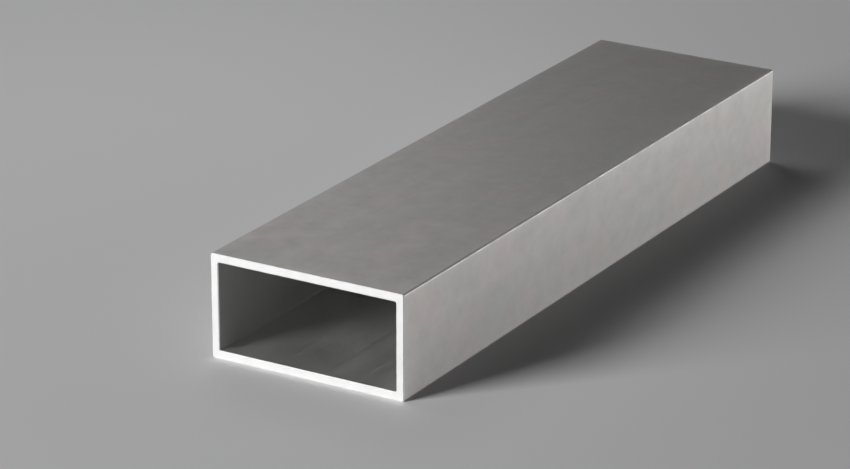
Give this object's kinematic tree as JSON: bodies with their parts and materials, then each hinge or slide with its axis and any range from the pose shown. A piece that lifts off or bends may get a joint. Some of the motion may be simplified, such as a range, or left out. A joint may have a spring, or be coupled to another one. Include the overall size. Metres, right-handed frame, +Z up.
{
  "type": "rectangular tube",
  "caption": "Straight length of extruded rectangular aluminium tube with even walls, sharp corners and square-sawn open ends, for frames and brackets.",
  "frame": {"origin": "middle of the underside of the wide face that the tube lies on", "axes": "+Y along the tube's length, +X across its wide faces, +Z up from the face that it lies on"},
  "size_m": [0.05, 0.182, 0.025],
  "materials": {
    "mill_aluminium": "mill finish, as extruded, with bright sawn ends"
  },
  "bodies": {
    "root": {"rectangular_tube": "mill_aluminium"}
  },
  "joints": []
}
